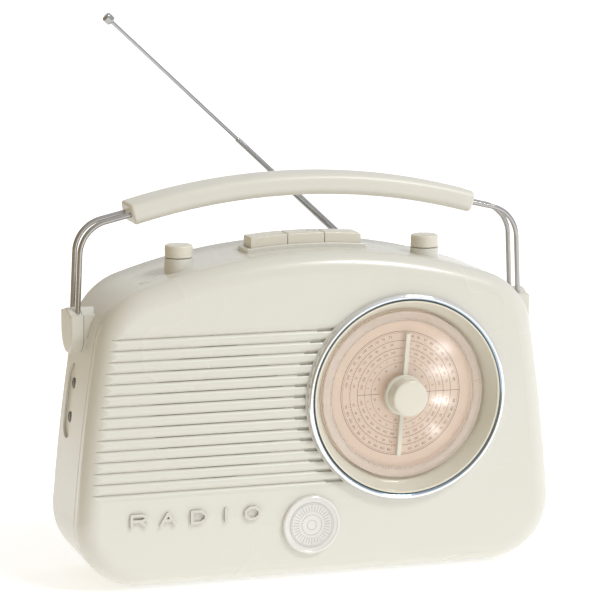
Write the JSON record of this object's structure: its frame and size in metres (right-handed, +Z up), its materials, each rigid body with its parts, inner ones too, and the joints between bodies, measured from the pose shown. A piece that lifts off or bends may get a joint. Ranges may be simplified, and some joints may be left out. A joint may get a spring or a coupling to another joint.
{
  "type": "tabletop radio",
  "caption": "Arched portable table radio with a round tuning dial, reeded grille, push keys, top knobs, swinging carrying handle and telescopic aerial.",
  "frame": {"origin": "on the table plane under the middle of the case", "axes": "+X is the listener's right, -Y is the front that faces the listener, +Z is up"},
  "size_m": [0.29, 0.0933, 0.3272],
  "materials": {
    "case_cream": "moulded ivory plastic, smooth gloss",
    "handle_cream": "moulded ivory plastic, soft gloss",
    "knob_cream": "moulded ivory plastic, gloss",
    "dial_cream": "moulded warm ivory plastic, gloss",
    "chrome_trim": "bright chrome plate",
    "chrome_wire": "polished plated wire",
    "aerial_chrome": "polished plated tube",
    "printed_dial": "printed peach dial card",
    "clear_plastic": "clear moulded plastic",
    "dark_plastic": "black moulded plastic",
    "grey_plastic": "grey moulded plastic",
    "steel": "zinc plated steel",
    "brass": "turned brass",
    "board_green": "green circuit board",
    "core_iron": "varnished iron",
    "ferrite": "sintered ferrite",
    "cone_paper": "pressed paper cone",
    "cloth": "woven loudspeaker cloth",
    "cell_jacket": "plain printed cell jacket",
    "rubber": "soft rubber"
  },
  "bodies": {
    "case": {"front_shell": "case_cream", "rear_shell": "case_cream", "dial_ring": "chrome_trim", "dial_bezel": "dial_cream", "dial_plate": "printed_dial", "dial_frame": "grey_plastic", "spindle_bush": "brass", "tuning_capacitor": "clear_plastic", "circuit_board": "board_green", "board_parts": "dark_plastic", "control_board": "board_green", "ferrite_aerial": "ferrite", "mains_transformer": "core_iron", "mains_inlet": "dark_plastic", "speaker_cloth": "cloth", "speaker_basket": "steel", "speaker_cone": "cone_paper", "speaker_magnet": "core_iron", "volume_potentiometer": "steel", "tone_potentiometer": "steel", "key_plinth": "case_cream", "left_key_spring": "steel", "centre_key_spring": "steel", "right_key_spring": "steel", "key_switch_bank": "dark_plastic", "battery_tray": "dark_plastic", "battery_cells": "cell_jacket", "battery_contacts": "steel", "socket_panel": "case_cream", "sockets": "dark_plastic", "handle_pins": "steel", "aerial_bracket": "dark_plastic", "case_screws": "steel", "feet": "rubber", "badge": "case_cream", "front_letters": "chrome_trim"},
    "tuning_dial": {"dial_lens": "clear_plastic", "dial_pointer": "knob_cream", "tuning_knob": "knob_cream", "dial_spindle": "steel", "dial_gear": "grey_plastic"},
    "tuning_rotor": {"capacitor_rotor": "grey_plastic"},
    "volume_control": {"volume_knob": "knob_cream", "volume_shaft": "steel"},
    "tone_control": {"tone_knob": "knob_cream", "tone_shaft": "steel"},
    "key_left": {"left_key": "knob_cream"},
    "key_centre": {"centre_key": "knob_cream"},
    "key_right": {"right_key": "knob_cream"},
    "handle": {"grip_upper": "handle_cream", "grip_lower": "handle_cream", "handle_wires": "chrome_wire", "handle_bosses": "handle_cream"},
    "door": {"battery_door": "case_cream"},
    "aerial_turntable": {"aerial_swivel": "aerial_chrome"},
    "aerial_base": {"aerial_knuckle": "aerial_chrome", "aerial_base_tube": "aerial_chrome"},
    "aerial_middle": {"aerial_mid_tube": "aerial_chrome"},
    "aerial_end": {"aerial_tip_rod": "aerial_chrome", "aerial_tip_knob": "aerial_chrome"}
  },
  "joints": [
    {"name": "tuning", "type": "hinge", "parent": "case", "child": "tuning_dial", "pos_m": [0.0509, -0.03, 0.1061], "axis": [0, 1, 0], "range_deg": [-85, 85]},
    {"name": "capacitor_turn", "type": "hinge", "parent": "case", "child": "tuning_rotor", "pos_m": [0.0509, -0.009, 0.0741], "axis": [0, 1, 0], "range_deg": [-85, 85]},
    {"name": "volume_turn", "type": "hinge", "parent": "case", "child": "volume_control", "pos_m": [-0.0795, -0.0105, 0.19], "axis": [0, 0, 1], "range_deg": [-150, 150]},
    {"name": "tone_turn", "type": "hinge", "parent": "case", "child": "tone_control", "pos_m": [0.0709, -0.0105, 0.19], "axis": [0, 0, 1], "range_deg": [-150, 150]},
    {"name": "left_key_press", "type": "slide", "parent": "case", "child": "key_left", "axis": [0, 0, -1], "range_m": [0, 0.004], "stiffness_N_per_m": 250, "springref_m": -0.003, "deforming": ["left_key_spring"]},
    {"name": "centre_key_press", "type": "slide", "parent": "case", "child": "key_centre", "axis": [0, 0, -1], "range_m": [0, 0.004], "stiffness_N_per_m": 250, "springref_m": -0.003, "deforming": ["centre_key_spring"]},
    {"name": "right_key_press", "type": "slide", "parent": "case", "child": "key_right", "axis": [0, 0, -1], "range_m": [0, 0.004], "stiffness_N_per_m": 250, "springref_m": -0.003, "deforming": ["right_key_spring"]},
    {"name": "handle_swing", "type": "hinge", "parent": "case", "child": "handle", "pos_m": [0, 0.009, 0.1472], "axis": [1, 0, 0], "range_deg": [-12, 90]},
    {"name": "door_open", "type": "hinge", "parent": "case", "child": "door", "pos_m": [-0.044, 0.0365, 0.0105], "axis": [-1, 0, 0], "range_deg": [0, 60]},
    {"name": "aerial_turn", "type": "hinge", "parent": "case", "child": "aerial_turntable", "pos_m": [0.0857, 0.0445, 0.1451], "axis": [0, 1, 0], "range_deg": [-43, 137]},
    {"name": "aerial_tilt", "type": "hinge", "parent": "aerial_turntable", "child": "aerial_base", "pos_m": [0.0857, 0.0445, 0.1451], "axis": [-0.6807, 0, -0.7325], "range_deg": [0, 80]},
    {"name": "aerial_middle_slide", "type": "slide", "parent": "aerial_base", "child": "aerial_middle", "axis": [-0.7325, 0, 0.6807], "range_m": [-0.032, 0.066]},
    {"name": "aerial_end_slide", "type": "slide", "parent": "aerial_middle", "child": "aerial_end", "axis": [-0.7325, 0, 0.6807], "range_m": [-0.098, 0]}
  ],
  "couplings": [
    {"joint": "capacitor_turn", "follows": "tuning", "ratio": -1}
  ]
}
